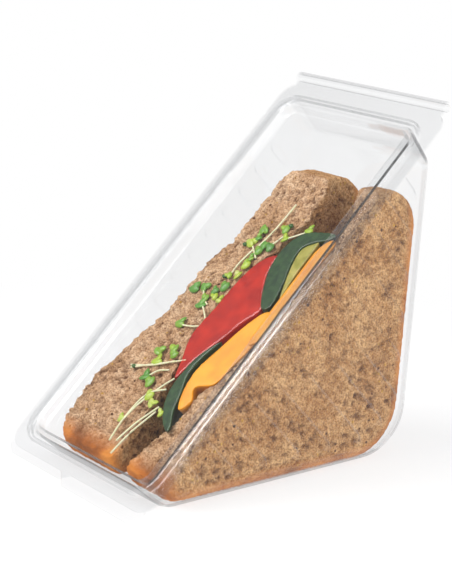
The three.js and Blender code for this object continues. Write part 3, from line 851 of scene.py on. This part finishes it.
# Each leaf is given as u, v, length, turn and tone, and each stem as points in u and v.
leaves = [
    (-16, 88, 4.6, 10, 0.15), (-12, 90, 4.2, -35, 0.22), (-7, 83, 4.8, 20, 0.18),
    (-7, 86, 3.6, 80, 0.3), (-5, 90, 3.4, 60, 0.12), (-3, 88, 3.0, 100, 0.5),
    (-2, 93, 4.2, 75, 0.16), (0, 87, 2.8, 10, 0.55), (0, 99, 3.8, 70, 0.5),
    (-4, 98, 3.0, 120, 0.4), (0, 104, 4.0, 60, 0.48), (0, 107, 3.0, 40, 0.3),
    (-6, 113, 4.6, -20, 0.52), (-5, 120, 4.6, -70, 0.25), (-4, 116, 3.2, 30, 0.2),
    (1, 114, 4.0, -60, 0.18), (1, 111, 3.6, 70, 0.22), (5, 114, 4.0, 85, 0.12),
    (6, 123, 4.0, 90, 0.28), (9, 119, 3.4, 50, 0.42), (17, 125, 3.6, 15, 0.4),
    (-10, 73, 4.4, 5, 0.3), (-10, 60, 4.4, -25, 0.3), (-7, 56, 4.6, 20, 0.46),
    (-3, 63, 4.4, 85, 0.3), (-1, 61, 3.4, 60, 0.28), (-7, 49, 4.6, 35, 0.14),
    (-3, 48, 4.6, 85, 0.28), (2, 43, 4.0, 60, 0.5), (5, 41, 4.2, -50, 0.55),
    (-3, 31, 3.0, 60, 0.55), (13, 39, 3.0, 70, 0.5),
]
stems = [
    [(-18, 51), (-8, 54), (1, 59)], [(-17, 50), (-5, 56), (6, 61)],
    [(-8, 73), (-3, 74), (0, 75)], [(-1, 22), (-2, 32), (0, 43), (7, 48)],
    [(2, 23), (5, 32), (10, 41)], [(-4, 98), (-4, 104), (-2, 111)],
    [(-1, 112), (1, 122), (2, 134)], [(4, 18), (6, 28), (10, 39)],
    [(-7, 48), (-3, 53), (2, 55)], [(-7, 84), (-3, 81), (1, 78)],
    [(-12, 90), (-8, 86), (-4, 84)], [(5, 115), (7, 119), (8, 121)],
    [(3, 46), (5, 50), (7, 53)], [(-6, 114), (-2, 111), (2, 108)],
    [(16, 124), (12, 121), (9, 119)], [(-2, 31), (-1, 36), (1, 42)],
]
seeds = [(-16, 51), (-6, 97), (-8, 112), (7, 125)]


def open_curve(points, steps):
    count = len(points)
    curve = []
    for i in range(count - 1):
        before = points[max(i - 1, 0)]
        beyond = points[min(i + 2, count - 1)]
        curve += [
            curve_point(before, points[i], points[i + 1], beyond, k / steps) for k in range(steps)
        ]
    return curve + [points[-1]]


def add_blob(bm, tones, centre, axes, tone_value, rings, segments):
    ball = bmesh.ops.create_uvsphere(bm, u_segments=segments, v_segments=rings, radius=1)
    for vertex in ball["verts"]:
        x, y, z = vertex.co
        pinch = 1 - LEAF_PINCH * x * x
        vertex.co = centre + axes[0] * x + axes[1] * (y * pinch) + axes[2] * (z * pinch)
        vertex[tones] = tone_value


def add_tube(bm, tones, points, radius, tone_value, sides):
    rings = []
    for i, p in enumerate(points):
        along = (points[min(i + 1, len(points) - 1)] - points[max(i - 1, 0)]).normalized()
        side = along.orthogonal().normalized()
        other = along.cross(side)
        ring = []
        for k in range(sides):
            angle = 2 * math.pi * k / sides
            spoke = side * math.cos(angle) + other * math.sin(angle)
            vertex = bm.verts.new(p + spoke * radius)
            vertex[tones] = tone_value
            ring.append(vertex)
        rings.append(ring)
    for a, b in zip(rings, rings[1:]):
        for k in range(sides):
            bm.faces.new((a[k], a[(k + 1) % sides], b[(k + 1) % sides], b[k]))
    bm.faces.new(rings[0][::-1])
    bm.faces.new(rings[-1])


rng = random.Random(11)
sprout_bm = bmesh.new()
sprout_tones = sprout_bm.verts.layers.float.new("tone")
lid_u = Vector((1, 0, 0))
lid_v = (lid_point(0, 1, 0) - lid_point(0, 0, 0)).normalized()
lid_n = (lid_point(0, 0, 1) - lid_point(0, 0, 0)).normalized()

# The second leaf of each pair stands beside the first, smaller and turned away from it.
second_leaves = []
for u, v, length, turn, tone_value in leaves:
    bearing = math.radians(turn + PAIR_BEARING)
    second_leaves.append((
        u + PAIR_GAP * math.cos(bearing), v + PAIR_GAP * math.sin(bearing),
        length * PAIR_LENGTH, turn + rng.uniform(45, 80), tone_value + rng.uniform(-0.08, 0.12),
    ))
for u, v, length, turn, tone_value in leaves + second_leaves:
    angle = math.radians(turn)
    along = lid_u * math.cos(angle) + lid_v * math.sin(angle)
    tilt = rng.uniform(-LEAF_TILT, LEAF_TILT)
    across = lid_n.cross(along).normalized()
    face = (lid_n * math.cos(tilt) + across * math.sin(tilt)).normalized()
    across = face.cross(along)
    centre = lid_point(u, v, LEAF_LEVEL + rng.uniform(-0.15, 0.1))
    axes = (
        along * length * LEAF_REACH * MM, across * length * LEAF_SPREAD * MM,
        face * LEAF_THICK * MM,
    )
    add_blob(sprout_bm, sprout_tones, centre, axes, tone_value, rings=8, segments=12)
for path in stems:
    raised = [lid_point(u, v, STEM_LEVEL + rng.uniform(-0.15, 0.2)) for u, v in path]
    curve = open_curve(raised, STEM_STEPS)
    add_tube(sprout_bm, sprout_tones, curve, STEM_RADIUS * MM, STEM_TONE, STEM_SIDES)
for u, v in seeds:
    centre = lid_point(u, v, LEAF_LEVEL)
    axes = (lid_u * 1.3 * MM, lid_v * 0.9 * MM, lid_n * 0.7 * MM)
    add_blob(sprout_bm, sprout_tones, centre, axes, SEED_TONE, rings=6, segments=10)
sprout_mesh = bpy.data.meshes.new("sprouts")
sprout_bm.to_mesh(sprout_mesh)
sprout_bm.free()
sprout_mesh.shade_smooth()
sprout_mesh.materials.append(sprout)
sprouts = bpy.data.objects.new("sprouts", sprout_mesh)
scene.collection.objects.link(sprouts)
carry(sprouts, "sprout", *[f"sprout_{i:02d}" for i in range(1, 14)])
